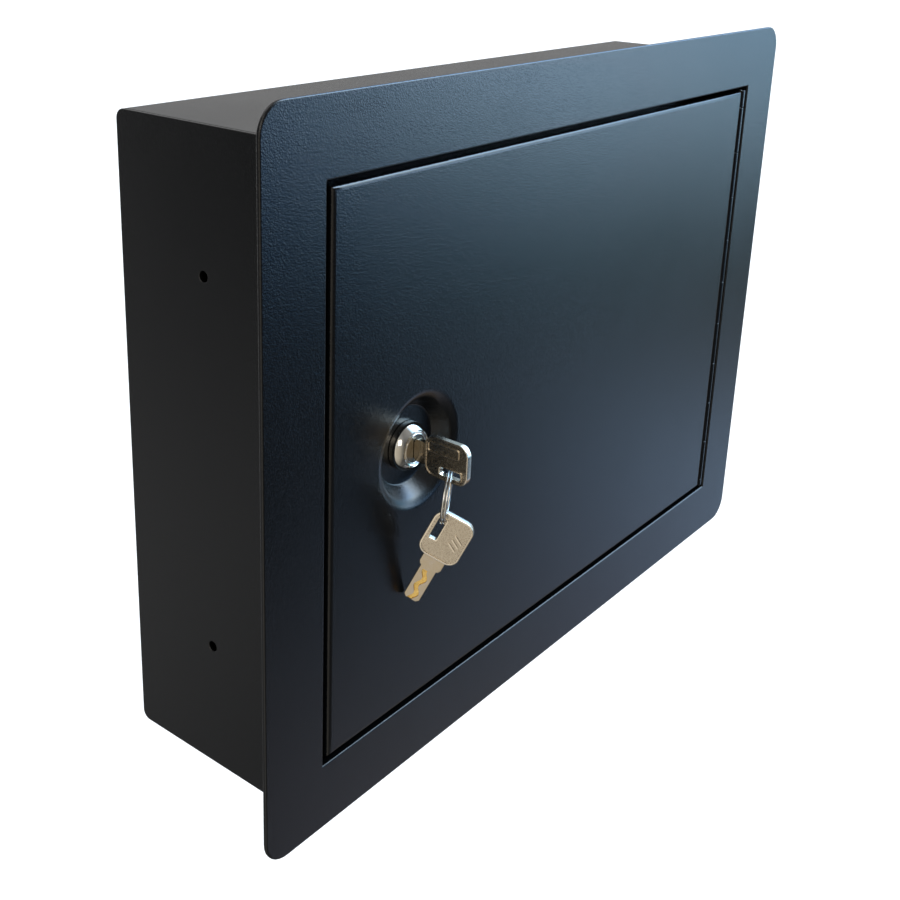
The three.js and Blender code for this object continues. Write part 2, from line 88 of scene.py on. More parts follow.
# hinge
PIN_LOW, PIN_HIGH = box_mm("hinge_pin")
HINGE_X = (PIN_LOW.x + PIN_HIGH.x) / 2
HINGE_Y = (PIN_LOW.y + PIN_HIGH.y) / 2
HINGE = {"knuckle": 3, "bore": 1.7, "first": 9.4, "pitch": 24.7, "leaf": 1.2, "reach": 14}
GAP = 0.3

# keys, ring and how they hang
BOW = {"length": 21.5, "width": 17.6, "corner": 4.6, "thick": 2.6}
COLLAR = {"width": 9.8, "length": 5.2}
BLADE = {"width": 7, "length": 17, "thick": 2.2, "tip": 1.2}
SLOT = {"width": 3.2, "length": 10.2, "offset": -5, "from_end": 3.4}
FIELD = {"border": 0.8, "sunk": 0.4, "rail": 0.6}
LABEL = {"left": 1.7, "right": 6.3, "low": 1.3, "high": 17, "line": 0.5}
RIB = {"half_length": 2.4, "half_width": 0.35, "slant": -32}
RIB_CENTRES = [(4.1 + 0.5 * i, COLLAR["length"] + 10.5 + 2.1 * i) for i in (-1, 0, 1)]
TRACK = {"half": 1.1, "sway": 0.85, "half_waves": 4.4, "stops_at": -1.4, "depth": 0.6}
PAST = 1
KEY_LENGTH = COLLAR["length"] + BOW["length"]
RING = {"radius": 10.4, "wire": 0.55, "pitch": 1.22, "jog": 0.5, "blunt": 0.12, "play": 0.45}
RING_TURN = 31
RING_LEAN = 4.5
RING_FROM_SLOT_END = 6
SPARE = {"facing": -62, "tilt": 25}


# ---- outlines --------------------------------------------------------------------------------
def filleted(corners, steps=5):
    """Points of an outline given as (u, v, radius) corners, each rounded by an arc."""
    made = []
    for i, (u, v, radius) in enumerate(corners):
        corner = Vector((u, v))
        if not radius:
            made.append(corner)
            continue
        before = (Vector(corners[i - 1][:2]) - corner).normalized()
        after = (Vector(corners[(i + 1) % len(corners)][:2]) - corner).normalized()
        half = before.angle(after) / 2
        centre = corner + (before + after).normalized() * (radius / math.sin(half))
        start = corner + before * (radius / math.tan(half)) - centre
        end = corner + after * (radius / math.tan(half)) - centre
        turn = math.copysign(start.angle(end), start.cross(end))
        for k in range(steps + 1):
            made.append(centre + Matrix.Rotation(turn * k / steps, 2) @ start)
    return made


def rounded_rectangle(x0, x1, y0, y1, radius, steps=5):
    """Counter-clockwise outline of a rectangle with round corners."""
    corners = [(x0, y0, radius), (x1, y0, radius), (x1, y1, radius), (x0, y1, radius)]
    return filleted(corners, steps)


def circle(cx, cy, radius, count=32):
    """Counter-clockwise outline of a circle."""
    angles = [2 * math.pi * i / count for i in range(count)]
    return [Vector((cx + radius * math.cos(a), cy + radius * math.sin(a))) for a in angles]


def moved_left(loop, distance):
    """The loop with every point moved to the left of its direction of travel, mitred."""
    made = []
    for i, point in enumerate(loop):
        arriving = (point - loop[i - 1]).normalized()
        leaving = (loop[(i + 1) % len(loop)] - point).normalized()
        left_in = Vector((-arriving.y, arriving.x))
        left_out = Vector((-leaving.y, leaving.x))
        share = max(0.3, 1 + left_in.dot(left_out))
        made.append(point + (left_in + left_out) * (distance / share))
    return made


# ---- solids ----------------------------------------------------------------------------------
def bridge(bm, loops, closed=True):
    """Quads between neighbouring loops of equal length; a closed strip also joins its ends."""
    rings = [[bm.verts.new(point) for point in loop] for loop in loops]
    pairs = list(zip(rings, rings[1:]))
    if closed:
        pairs.append((rings[-1], rings[0]))
    for one, other in pairs:
        for i in range(len(one)):
            j = (i + 1) % len(one)
            bm.faces.new((one[i], one[j], other[j], other[i]))
    return rings


def tidied(bm, distance=1e-4):
    """Doubled points and empty faces taken out, and the rest turned outward."""
    bmesh.ops.remove_doubles(bm, verts=bm.verts, dist=distance)
    bmesh.ops.dissolve_degenerate(bm, edges=bm.edges, dist=distance)
    bmesh.ops.recalc_face_normals(bm, faces=bm.faces)
    return bm


def plate(bm, outer, holes, low, high, edge=0.2, steps=2):
    """A flat plate between two heights along z, with round edges; holes run clockwise."""
    section = []
    for k in range(steps + 1):
        a = math.pi / 2 * k / steps
        section.append((edge * (1 - math.sin(a)), low + edge * (1 - math.cos(a))))
    section += [(inset, low + high - z) for inset, z in reversed(section)]
    first, last = [], []
    for loop in [outer, *holes]:
        loops = []
        for inset, z in section:
            loops.append([(p.x, p.y, z) for p in moved_left(loop, inset)])
        rings = bridge(bm, loops, closed=False)
        first.append(rings[0])
        last.append(rings[-1])
    for rings in (first, last):
        bm.edges.ensure_lookup_table()
        edges = []
        for ring in rings:
            edges += [bm.edges.get((ring[i - 1], ring[i])) for i in range(len(ring))]
        bmesh.ops.triangle_fill(bm, edges=edges, use_beauty=True, use_dissolve=False)
    return bm


def lathe(bm, profile, centre, axis="y", count=96):
    """A closed profile of (radius, height) points turned about an axis through centre."""
    loops = []
    for radius, height in profile:
        loop = []
        for i in range(count):
            a = 2 * math.pi * i / count
            u, v = radius * math.cos(a), radius * math.sin(a)
            point = (u, height, v) if axis == "y" else (u, v, height)
            loop.append(centre + Vector(point))
        loops.append(loop)
    bridge(bm, loops)
    return bm


def tube(bm, path, radius, sides=16):
    """A round wire along a path of points, with domed ends."""
    tangents = []
    for i in range(len(path)):
        ahead, behind = path[min(i + 1, len(path) - 1)], path[max(i - 1, 0)]
        tangents.append((ahead - behind).normalized())
    across = tangents[0].orthogonal().normalized()
    loops = []

    def ring_at(point, tangent, size):
        nonlocal across
        across = (across - tangent * across.dot(tangent)).normalized()
        other = tangent.cross(across)
        angles = [2 * math.pi * k / sides for k in range(sides)]
        loops.append([point + (across * math.cos(a) + other * math.sin(a)) * size for a in angles])

    dome = [math.radians(angle) for angle in (80, 55, 30)]
    for a in dome:
        ring_at(path[0] - tangents[0] * radius * math.sin(a), tangents[0], radius * math.cos(a))
    for point, tangent in zip(path, tangents):
        ring_at(point, tangent, radius)
    for a in reversed(dome):
        ring_at(path[-1] + tangents[-1] * radius * math.sin(a), tangents[-1], radius * math.cos(a))
    rings = bridge(bm, loops, closed=False)
    bm.faces.new(rings[0])
    bm.faces.new(rings[-1])
    return bm


def from_bmesh(name, bm, place=None):
    """A Blender object, in metres, of a bmesh made in millimetres."""
    tidied(bm)
    mesh = bpy.data.meshes.new(name)
    bm.to_mesh(mesh)
    bm.free()
    if place is not None:
        mesh.transform(place)
    mesh.transform(Matrix.Scale(MM, 4))
    made = bpy.data.objects.new(name, mesh)
    bpy.context.scene.collection.objects.link(made)
    return made


def smoothed(piece, angle=32):
    """Smooth shading with crisp edges, and normals that follow the larger faces."""
    piece.data.shade_smooth()
    piece.data.set_sharp_from_angle(angle=math.radians(angle))
    weighted = piece.modifiers.new("face_weighted_normals", "WEIGHTED_NORMAL")
    weighted.keep_sharp = True
    weighted.mode = "FACE_AREA"
    return piece


def rounded_edges(piece, width, angle=40):
    """A small round on every edge sharper than an angle in degrees."""
    bevel = piece.modifiers.new("rounded_edges", "BEVEL")
    bevel.width = width * MM
    bevel.segments = 2
    bevel.limit_method = "ANGLE"
    bevel.angle_limit = math.radians(angle)
    bevel.harden_normals = False
    return piece


def stands_for(piece, node, body, material):
    """The piece is shown in place of a CAD node, on the same body."""
    piece.data.materials.append(material)
    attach(piece, body)
    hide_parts(node)
    return piece


# ---- materials -------------------------------------------------------------------------------
def ramp_node(nodes, stops):
    """A colour ramp with its stops given as (position, grey or colour)."""
    ramp = nodes.new("ShaderNodeValToRGB")
    elements = ramp.color_ramp.elements
    while len(elements) < len(stops):
        elements.new(0.5)
    for element, (position, value) in zip(elements, stops):
        element.position = position
        element.color = (*value, 1) if isinstance(value, tuple) else (value, value, value, 1)
    return ramp


class Finish:
    """A principled material and short ways to wire its procedural nodes."""

    def __init__(self, name):
        self.material = bpy.data.materials.new(name)
        self.material.use_nodes = True
        self.tree = self.material.node_tree
        self.shader = self.tree.nodes["Principled BSDF"]
        self.coordinates = self.node("ShaderNodeTexCoord").outputs["Object"]

    def node(self, kind):
        return self.tree.nodes.new(kind)

    def link(self, source, target):
        self.tree.links.new(source, target)

    def noise(self, scale, detail=2.0, roughness=0.5, stretch=None):
        """Noise with cells of about 1 / scale metres, stretched along the axes if asked."""
        noise = self.node("ShaderNodeTexNoise")
        noise.inputs["Scale"].default_value = scale
        noise.inputs["Detail"].default_value = detail
        noise.inputs["Roughness"].default_value = roughness
        source = self.coordinates
        if stretch:
            mapping = self.node("ShaderNodeMapping")
            mapping.inputs["Scale"].default_value = stretch
            self.link(source, mapping.inputs["Vector"])
            source = mapping.outputs["Vector"]
        self.link(source, noise.inputs["Vector"])
        return noise.outputs["Fac"]

    def cells(self, scale):
        """The distance from the middle of irregular cells of about 1 / scale metres."""
        cells = self.node("ShaderNodeTexVoronoi")
        cells.inputs["Scale"].default_value = scale
        self.link(self.coordinates, cells.inputs["Vector"])
        return cells.outputs["Distance"]

    def ramp(self, source, *stops):
        """Colours or greys along a value."""
        ramp = ramp_node(self.tree.nodes, stops)
        self.link(source, ramp.inputs["Fac"])
        return ramp.outputs["Color"]

    def bump(self, source, distance, strength=1.0, before=None):
        bump = self.node("ShaderNodeBump")
        bump.inputs["Distance"].default_value = distance
        bump.inputs["Strength"].default_value = strength
        self.link(source, bump.inputs["Height"])
        if before:
            self.link(before, bump.inputs["Normal"])
        return bump.outputs["Normal"]

    def set(self, **sockets):
        for name, value in sockets.items():
            socket = self.shader.inputs[name.replace("_", " ")]
            if isinstance(value, bpy.types.NodeSocket):
                self.link(value, socket)
            elif isinstance(value, tuple):
                socket.default_value = (*value, 1)
            else:
                socket.default_value = value
        return self.material


def powder_coat():
    """Satin black powder coat: orange peel, fine grain and a slightly uneven gloss."""
    finish = Finish("powder_coat")
    peel = finish.noise(600, detail=2)
    grain = finish.noise(1700, detail=1, roughness=0.6)
    specks = finish.ramp(finish.cells(1250), (0.0, 1.0), (0.45, 0.0))
    waves = finish.noise(9, detail=1)
    normal = finish.bump(waves, 0.0006, 0.25)
    normal = finish.bump(peel, 0.00022, 0.1, normal)
    normal = finish.bump(grain, 0.0001, 0.75, normal)
    normal = finish.bump(specks, 0.00002, 1.0, normal)
    patches = finish.noise(14, detail=4, roughness=0.65)
    speckle = finish.noise(2600, detail=1)
    dark, light = (0.0015, 0.0017, 0.002), (0.003, 0.0034, 0.004)
    return finish.set(
        Base_Color=finish.ramp(speckle, (0.3, dark), (0.75, light)),
        Roughness=finish.ramp(patches, (0.3, 0.18), (0.7, 0.22)),
        Normal=normal,
    )


def metal(name, light, dark, polish, grain, depth, cells=260, stretch=(1, 1, 4)):
    """A metal with cloudy tone, uneven polish and fine scratches. polish is the roughness where
    it shines most and least, grain the scratches per metre and depth their depth in metres."""
    finish = Finish(name)
    cloud = finish.noise(cells, detail=4, roughness=0.6)
    lines = finish.noise(grain, detail=3, stretch=stretch)
    pits = finish.noise(grain * 1.7, detail=2)
    normal = finish.bump(lines, depth, 0.5)
    normal = finish.bump(pits, depth * 0.6, 0.4, normal)
    return finish.set(
        Metallic=1.0,
        Base_Color=finish.ramp(cloud, (0.3, dark), (0.7, light)),
        Roughness=finish.ramp(cloud, (0.3, polish[0]), (0.75, polish[1])),
        Normal=normal,
    )


COAT = powder_coat()
CHROME = metal("polished_chrome", (0.86, 0.83, 0.77), (0.8, 0.77, 0.7), (0.06, 0.13), 900, 3e-6)
CAST = metal("dark_casting", (0.2, 0.2, 0.2), (0.13, 0.13, 0.13), (0.25, 0.4), 1400, 1e-5)
PLATED = metal(
    "zinc_plated_steel", (0.62, 0.63, 0.65), (0.52, 0.53, 0.55), (0.22, 0.36), 1500, 1e-5
)
NICKEL = metal("satin_nickel", (0.88, 0.8, 0.68), (0.76, 0.68, 0.56), (0.2, 0.3), 1500, 6e-6)
# Grained nickel for the keys' sunk fields: a real fine grain, and a base colour darker than the
# satin nickel of the raised rim, rails and frame, which is painted shade in the recess.
GRAINED_AND_SHADED = metal(
    "grained_nickel_with_painted_shade", (0.72, 0.64, 0.52), (0.4, 0.35, 0.28), (0.2, 0.34), 1600, 8e-5,
    cells=1500, stretch=(1, 1, 1),
)
RUBBED = metal("rubbed_nickel", (0.58, 0.52, 0.44), (0.52, 0.44, 0.31), (0.16, 0.28), 1500, 6e-6)
GOLD = metal(
    "milled_brass", (0.95, 0.7, 0.26), (0.7, 0.44, 0.12), (0.16, 0.3), 2000, 1e-5, cells=600
)
PLUG = metal("plated_plug", (0.4, 0.37, 0.3), (0.24, 0.21, 0.16), (0.25, 0.4), 1500, 1e-5)
BRASS = metal("lock_brass", (0.76, 0.6, 0.3), (0.62, 0.47, 0.2), (0.22, 0.38), 1500, 1e-5)
WIRE = metal("ring_steel", (0.84, 0.82, 0.78), (0.72, 0.7, 0.66), (0.08, 0.18), 1500, 5e-6)


# ---- case ------------------------------------------------------------------------------------
def frame_loop(out, y, lip_side):
    """The flange's and jamb's outline at a distance outside the opening, in the plane at y."""
    full = FRAME_HIGH.x - OPENING.x
    share = max(0.0, (out - 2) / (full - 2))
    short = (full - (FRAME_HIGH.z - OPENING.z)) * share
    width, height = OPENING.x + out, OPENING.z + out - short
    right = width if out >= 0 or lip_side else OPENING.x
    radius = 0.4 + (FLANGE_CORNER - 0.4) * share
    outline = rounded_rectangle(-width, right, -height, height, radius, 8)
    return [(p.x, y, p.y) for p in outline]


def front_frame():
    """Flange, jamb and stop as one folded section swept round the opening."""
    full = FRAME_HIGH.x - OPENING.x
    back = FRAME_HIGH.y
    section = filleted(
        [
            (full, 0, 0.7), (full, FACE_Y, 0.7), (0, FACE_Y, 0.7),
            (0, back - SHEET, 0.2), (-STOP_LIP, back - SHEET, 0.4), (-STOP_LIP, back, 0.4),
            (SHEET, back, 1.2), (SHEET, 0, 0.5),
        ],
        4,
    )
    bm = bmesh.new()
    bridge(bm, [frame_loop(p.x, p.y, False) for p in section])
    piece = smoothed(from_bmesh("front_frame_coated", bm))
    return stands_for(piece, "front_frame", "case", COAT)


def side_panel(name):
    """A side wall with its two screw holes."""
    node_low, node_high = box_mm(name)
    front, top = node_low.y, node_high.z
    outer = filleted(
        [
            (front, -top, 0), (SIDE_HIGH.y, -top, CASE_BEND),
            (SIDE_HIGH.y, top, CASE_BEND), (front, top, 0),
        ],
        8,
    )
    holes = []
    for z in (-FIXING_HOLE["z"], FIXING_HOLE["z"]):
        holes.append(circle(FIXING_HOLE["y"], z, FIXING_HOLE["radius"])[::-1])
    bm = bmesh.new()
    plate(bm, outer, holes, node_low.x, node_high.x, edge=0.35, steps=3)
    turn = Matrix(((0, 0, 1, 0), (1, 0, 0, 0), (0, 1, 0, 0), (0, 0, 0, 1)))
    piece = smoothed(from_bmesh(name + "_coated", bm, turn))
    return stands_for(piece, name, "case", COAT)


def body_wrapper():
    """Top, back and bottom, folded from one sheet."""
    front, back, top = WRAP_LOW.y, WRAP_HIGH.y, WRAP_HIGH.z

    def fold(inset):
        far, high, radius = back - inset, top - inset, CASE_BEND - inset
        corners = [(front, high, 0), (far, high, radius), (far, -high, radius), (front, -high, 0)]
        return filleted(corners, 8)

    bm = bmesh.new()
    loops = []
    for x in (WRAP_LOW.x, WRAP_HIGH.x):
        for inset in (0, SHEET):
            loops.append([bm.verts.new((x, p.x, p.y)) for p in fold(inset)])
    left_out, left_in, right_out, right_in = loops
    round_edge = [left_out, left_in, right_in, right_out, left_out]
    for one, other in zip(round_edge, round_edge[1:]):
        for i in range(len(one) - 1):
            bm.faces.new((one[i], one[i + 1], other[i + 1], other[i]))
    for i in (0, -1):
        bm.faces.new((left_out[i], left_in[i], right_in[i], right_out[i]))
    piece = from_bmesh("body_wrapper_coated", bm)
    rounded_edges(piece, 0.3)
    smoothed(piece)
    return stands_for(piece, "body_wrapper", "case", COAT)


# ---- hinge -----------------------------------------------------------------------------------
def knuckle_spans(first):
    """The knuckles of one leaf, from the top down, as (low, high)."""
    top, bottom = PIN_HIGH.z, PIN_LOW.z
    breaks = [top]
    while breaks[-1] > bottom:
        step = HINGE["pitch"] if len(breaks) > 1 else HINGE["first"]
        breaks.append(max(bottom, breaks[-1] - step))
    half = GAP / 2
    spans = [(low + half, high - half) for high, low in zip(breaks, breaks[1:])]
    return spans[first::2]


def hinge_leaf(node, body, first, side):
    """Rolled knuckles on one strip of the continuous hinge."""
    centre = Vector((HINGE_X, HINGE_Y, 0))
    outer, bore = HINGE["knuckle"], HINGE["bore"]
    bm = bmesh.new()
    for low, high in knuckle_spans(first):
        profile = filleted(
            [(bore, low, 0.15), (outer, low, 0.35), (outer, high, 0.35), (bore, high, 0.15)], 3
        )
        lathe(bm, [tuple(p) for p in profile], centre, "z", 40)
        x1 = HINGE_X + side * outer
        x0 = x1 - side * HINGE["leaf"]
        tongue = rounded_rectangle(min(x0, x1), max(x0, x1), HINGE_Y + 0.5, HINGE_Y + 5, 0.1, 1)
        plate(bm, tongue, [], low, high, edge=0.1, steps=1)
    strip = rounded_rectangle(
        min(x0, x1), max(x0, x1), HINGE_Y + outer + GAP, HINGE_Y + HINGE["reach"], 0.3, 2
    )
    plate(bm, strip, [], PIN_LOW.z, PIN_HIGH.z, edge=0.2, steps=2)
    piece = smoothed(from_bmesh(node + "_rolled", bm))
    return stands_for(piece, node, body, COAT)


def hinge_pin():
    """The hinge's plain wire pin, with rounded ends."""
    radius, middle = (PIN_HIGH.x - PIN_LOW.x) / 2, 0.01
    low, high = PIN_LOW.z, PIN_HIGH.z
    corners = [(middle, low, 0), (radius, low, 0.4), (radius, high, 0.4), (middle, high, 0)]
    section = [tuple(p) for p in filleted(corners, 3)]
    bm = bmesh.new()
    lathe(bm, section, Vector((HINGE_X, HINGE_Y, 0)), "z", 32)
    piece = smoothed(from_bmesh("hinge_pin_wire", bm))
    return stands_for(piece, "hinge_pin", "case", PLATED)


# ---- door ------------------------------------------------------------------------------------
def door_share_points(count=128):
    """Places round the door's outline as shares of its width and height, one for each ray that
    leaves the lock, and the four corners; each with the ray's angle."""
    inset = DOOR_BEND
    x0, x1 = DOOR_LOW.x + inset, DOOR_HIGH.x - inset
    z0, z1 = DOOR_LOW.z + inset, DOOR_HIGH.z - inset
    corners = [math.atan2(z, x - LOCK_X) for x in (x0, x1) for z in (z0, z1)]
    angles = [2 * math.pi * i / count - math.pi for i in range(count)]
    near = math.pi / count * 0.6
    angles = [a for a in angles if all(abs(a - c) > near for c in corners)] + corners
    points = []
    for a in sorted(angles):
        c, s = math.cos(a), math.sin(a)
        reach_x = ((x1 if c > 0 else x0) - LOCK_X) / c if abs(c) > 1e-9 else math.inf
        reach_z = (z1 if s > 0 else z0) / s if abs(s) > 1e-9 else math.inf
        reach = min(reach_x, reach_z)
        x, z = LOCK_X + reach * c, reach * s
        points.append(((x - x0) / (x1 - x0), (z - z0) / (z1 - z0), a))
    return points


def dish_section(shift):
    """The dish's section from the hole outwards as (radius, y): its front surface, or the back
    surface one sheet behind."""
    floor = FACE_Y + DISH["depth"] + shift
    hole = BARREL + GAP
    sharp, soft = DISH["corner"], DISH["soften"]
    if shift:
        sharp, soft = sharp + shift, soft - shift
    widen = shift * 0.45
    corners = [
        (hole, floor, 0), (DISH["floor"] + widen, floor, sharp),
        (DISH["rim"] + widen, FACE_Y + shift, soft), (DISH["flat_from"], FACE_Y + shift, 0),
    ]
    return filleted(corners, 8)


def door_panel():
    """The pressed and folded door sheet, as loops from the lock hole out over the front, round
    the folded edges and back along the inside."""
    shares = door_share_points()

    def round_loop(radius, y):
        return [(LOCK_X + radius * math.cos(a), y, radius * math.sin(a)) for _, _, a in shares]

    def square_loop(inset, y):
        x0, x1 = DOOR_LOW.x + inset, DOOR_HIGH.x - inset
        z0, z1 = DOOR_LOW.z + inset, DOOR_HIGH.z - inset
        return [(x0 + (x1 - x0) * s, y, z0 + (z1 - z0) * t) for s, t, _ in shares]

    t = SHEET
    edge = filleted(
        [
            (DISH["flat_from"], FACE_Y, 0), (0, FACE_Y, DOOR_BEND), (0, DOOR_HIGH.y, 0.4),
            (t, DOOR_HIGH.y, 0.4), (t, FACE_Y + t, DOOR_BEND - t),
            (DISH["flat_from"], FACE_Y + t, 0),
        ],
        6,
    )[1:-1]
    loops = [round_loop(p.x, p.y) for p in dish_section(0)]
    loops += [square_loop(p.x, p.y) for p in edge]
    loops += [round_loop(p.x, p.y) for p in reversed(dish_section(t))]
    bm = bmesh.new()
    bridge(bm, loops)
    piece = smoothed(from_bmesh("door_panel_coated", bm), 50)
    return stands_for(piece, "door_panel", "door", COAT)


# ---- lock ------------------------------------------------------------------------------------
def lock_cap():
    """The chrome cap: a flat face, a fine groove, a crowned bevel and a skirt over the rim."""
    face, edge, skin, depth = CAP_LOW.y, CAP["face"], CAP["skin"], CAP["groove_depth"]
    dome = [(edge + CAP["groove"], face + depth / 2)]
    for arc in (CROWN, ROLL):
        for i in range(arc["steps"]):
            r, y = dome[-1]
            slope = math.radians(arc["slope"] + arc["turn"] * i)
            dome.append((r + arc["step"] * math.cos(slope), y + arc["step"] * math.sin(slope)))
    dome.append((dome[-1][0], RIM["back"]))
    corners = [(LOCK_BORE, face + skin, 0), (LOCK_BORE, face, 0.15), (edge, face, 0.2)]
    section = [tuple(p) for p in filleted(corners, 4)[:-1]]
    section += [(edge + r, face + y) for r, y in ((0.05, 0.1), (0.12, depth), (0.5, depth))]
    section += dome
    section += [(r - skin, max(face + skin, y)) for r, y in reversed(dome)]
    bm = bmesh.new()
    lathe(bm, section, Vector((LOCK_X, 0, 0)))
    piece = smoothed(from_bmesh("lock_cap_domed", bm))
    return stands_for(piece, "lock_cap", "door", CHROME)


def lock_housing():
    """The die-cast housing: its rim behind the cap, the boss and the flatted, threaded barrel."""
    rim, start, end = RIM["radius"], HOUSING_LOW.y, HOUSING_HIGH.y
    section = filleted(
        [
            (LOCK_BORE, start, 0.1), (BOSS, start, 0.3), (BOSS, RIM["front"], 0.1),
            (rim, RIM["front"], 0.4), (rim, RIM["back"], 0.25), (BARREL, RIM["back"], 0.1),
            (BARREL, end, 0.5), (LOCK_BORE, end, 0.2),
        ],
        4,
    )
    bm = bmesh.new()
    lathe(bm, [tuple(p) for p in section], Vector((LOCK_X, 0, 0)))
    for vert in bm.verts:
        if vert.co.y > RIM["back"] + 0.2:
            away = max(-BARREL_FLAT, min(BARREL_FLAT, vert.co.x - LOCK_X))
            vert.co.x = LOCK_X + away
    piece = smoothed(from_bmesh("lock_housing_cast", bm))
    return stands_for(piece, "lock_housing", "door", CAST)


# ---- keys ------------------------------------------------------------------------------------
def cut_or_join(target, other, operation):
    """Applies one exact boolean to target's mesh and removes the other object."""
    modifier = target.modifiers.new("boolean", "BOOLEAN")
    modifier.operation = operation
    modifier.solver = "EXACT"
    modifier.object = other
    modifier.material_mode = "TRANSFER"
    depsgraph = bpy.context.evaluated_depsgraph_get()
    depsgraph.update()
    result = bpy.data.meshes.new_from_object(target.evaluated_get(depsgraph))
    target.modifiers.remove(modifier)
    old = target.data
    target.data = result
    bpy.data.meshes.remove(old)
    bpy.data.objects.remove(other)


def rough_block(name, outer, holes, low, high, edge, material):
    """A plate in millimetres, used as one operand of a boolean."""
    bm = bmesh.new()
    plate(bm, outer, holes, low, high, edge)
    tidied(bm)
    mesh = bpy.data.meshes.new(name)
    bm.to_mesh(mesh)
    bm.free()
    mesh.materials.append(material)
    made = bpy.data.objects.new(name, mesh)
    bpy.context.scene.collection.objects.link(made)
    return made


def wavy_track():
    """The milled channel along the blade, as an outline that runs out past the tip."""
    start, end, half, steps = -BLADE["length"] - PAST, TRACK["stops_at"], TRACK["half"], 48
    left, right = [], []
    for i in range(steps + 1):
        y = start + (end - start) * i / steps
        x = TRACK["sway"] * math.sin(y / BLADE["length"] * TRACK["half_waves"] * math.pi)
        left.append(Vector((x - half, y)))
        right.append(Vector((x + half, y)))
    return right + left[::-1]


def grip_ribs():
    """Outlines of three slanted ribs on the bow."""
    turn = Matrix.Rotation(math.radians(RIB["slant"]), 2)
    long, wide = RIB["half_length"], RIB["half_width"]
    rib = rounded_rectangle(-long, long, -wide, wide, 0.34, 4)
    return [[turn @ p + Vector(centre) for p in rib] for centre in RIB_CENTRES]


def shank_outline():
    """The collar and the blade, whose tip is chamfered; the collar runs on into the bow."""
    c, b, tip = COLLAR["width"] / 2, BLADE["width"] / 2, BLADE["tip"]
    end, inside = -BLADE["length"], COLLAR["length"] + 2
    right = [
        (b - tip, end, 0.3), (b, end + tip, 0.3), (b, 0, 0.3),
        (c - 0.7, 0, 0.3), (c, 1.4, 0.4), (c, inside, 0.2),
    ]
    left = [(-x, y, radius) for x, y, radius in reversed(right)]
    return filleted(left + right, 3)


def slot_outline(margin, corner):
    """The slot's outline, or one at a margin round it."""
    half = SLOT["width"] / 2 + margin
    high = KEY_LENGTH - SLOT["from_end"] + margin
    low = high - SLOT["length"] - 2 * margin
    return rounded_rectangle(SLOT["offset"] - half, SLOT["offset"] + half, low, high, corner, 4)


def label_outline(margin, corner):
    """The plain raised frame's outer outline, or one at a margin inside it."""
    left, right = LABEL["left"] + margin, LABEL["right"] - margin
    low = COLLAR["length"] + LABEL["low"] + margin
    high = COLLAR["length"] + LABEL["high"] - margin
    return rounded_rectangle(left, right, low, high, corner, 5)


def key_mesh(name):
    """One key, flat in x and y: the blade points to -y and the slot is on the -x side."""
    w, h, t = BOW["width"] / 2, BOW["thick"] / 2, BLADE["thick"] / 2
    bow = rounded_rectangle(-w, w, COLLAR["length"], KEY_LENGTH, BOW["corner"], 10)
    key = rough_block(name, bow, [slot_outline(0, 0.7)[::-1]], -h, h, 0.3, NICKEL)
    cut_or_join(key, rough_block("shank", shank_outline(), [], -t, t, 0.22, RUBBED), "UNION")

    border, sunk = FIELD["border"], FIELD["sunk"]
    low, high, corner = COLLAR["length"] + border, KEY_LENGTH - border, BOW["corner"] - border
    field = rounded_rectangle(border - w, w - border, low, high, corner, 8)
    rails = [(slot_outline(FIELD["rail"], 0.9), [])]
    label = [(label_outline(0, 1.2), [label_outline(LABEL["line"], 0.8)[::-1]])]
    ribs = [(rib, []) for rib in grip_ribs()]
    for side, raised in ((-1, rails + label), (1, rails + ribs)):
        depths = sorted((side * (h - sunk), side * (h + PAST)))
        # The sunk field is cut with the grained nickel, whose darker colour is painted shade in
        # the recess.
        cutter = rough_block("field", field, [], *depths, 0.1, GRAINED_AND_SHADED)
        through = sorted((side * (h - sunk - PAST), side * (h + 2 * PAST)))
        for outline, holes in raised:
            block = rough_block("raised", outline, holes, *through, 0.05, NICKEL)
            cut_or_join(cutter, block, "DIFFERENCE")
        cut_or_join(key, cutter, "DIFFERENCE")
        depths = sorted((side * (t - TRACK["depth"]), side * (t + PAST)))
        cut_or_join(key, rough_block("track", wavy_track(), [], *depths, 0.05, GOLD), "DIFFERENCE")
    return key


def placed_key(name, place, node, body):
    """A key put where its CAD node is, with its edges rounded."""
    key = key_mesh(name)
    key.data.transform(Matrix.Scale(MM, 4) @ place)
    rounded_edges(key, 0.1, 50)
    smoothed(key, 28)
    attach(key, body)
    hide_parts(node)
    return key


def key_in_lock_place():
    """The key in the lock: blade along +y into the door, bow upright."""
    low, high = box_mm("key_in_lock")
    columns = ((0, 0, 1), (0, -1, 0), (1, 0, 0))
    turn = Matrix(columns).transposed().to_4x4()
    return Matrix.Translation(((low.x + high.x) / 2, high.y - BLADE["length"], 0)) @ turn


def hang_point():
    """Where the ring rests in the first key's slot."""
    low, _ = box_mm("key_in_lock")
    along = low.y + SLOT["from_end"] + RING_FROM_SLOT_END
    return Vector((LOCK_X, along, SLOT["offset"] - SLOT["width"] / 2 + RING["play"]))


RING_INNER = RING["radius"] - RING["wire"]
RING_LEANS = Matrix.Rotation(math.radians(RING_LEAN), 4, "X")
RING_LIE = Matrix.Rotation(math.radians(RING_TURN), 4, "Z") @ RING_LEANS


def spare_key_place():
    """The second key, hung by its slot from the lowest point of the ring."""
    lowest = RING_LIE @ Vector((0, 0, -2 * RING_INNER))
    hook = hang_point() + lowest + UP * RING["play"]
    facing = Matrix.Rotation(math.radians(SPARE["facing"]), 4, "Z")
    upright = Matrix.Rotation(math.pi / 2, 4, "X")
    tilted = Matrix.Rotation(-math.radians(SPARE["tilt"]), 4, "Z")
    slot_end = Vector((-SLOT["offset"], SLOT["from_end"] - KEY_LENGTH, 0))
    return Matrix.Translation(hook) @ facing @ upright @ tilted @ Matrix.Translation(slot_end)


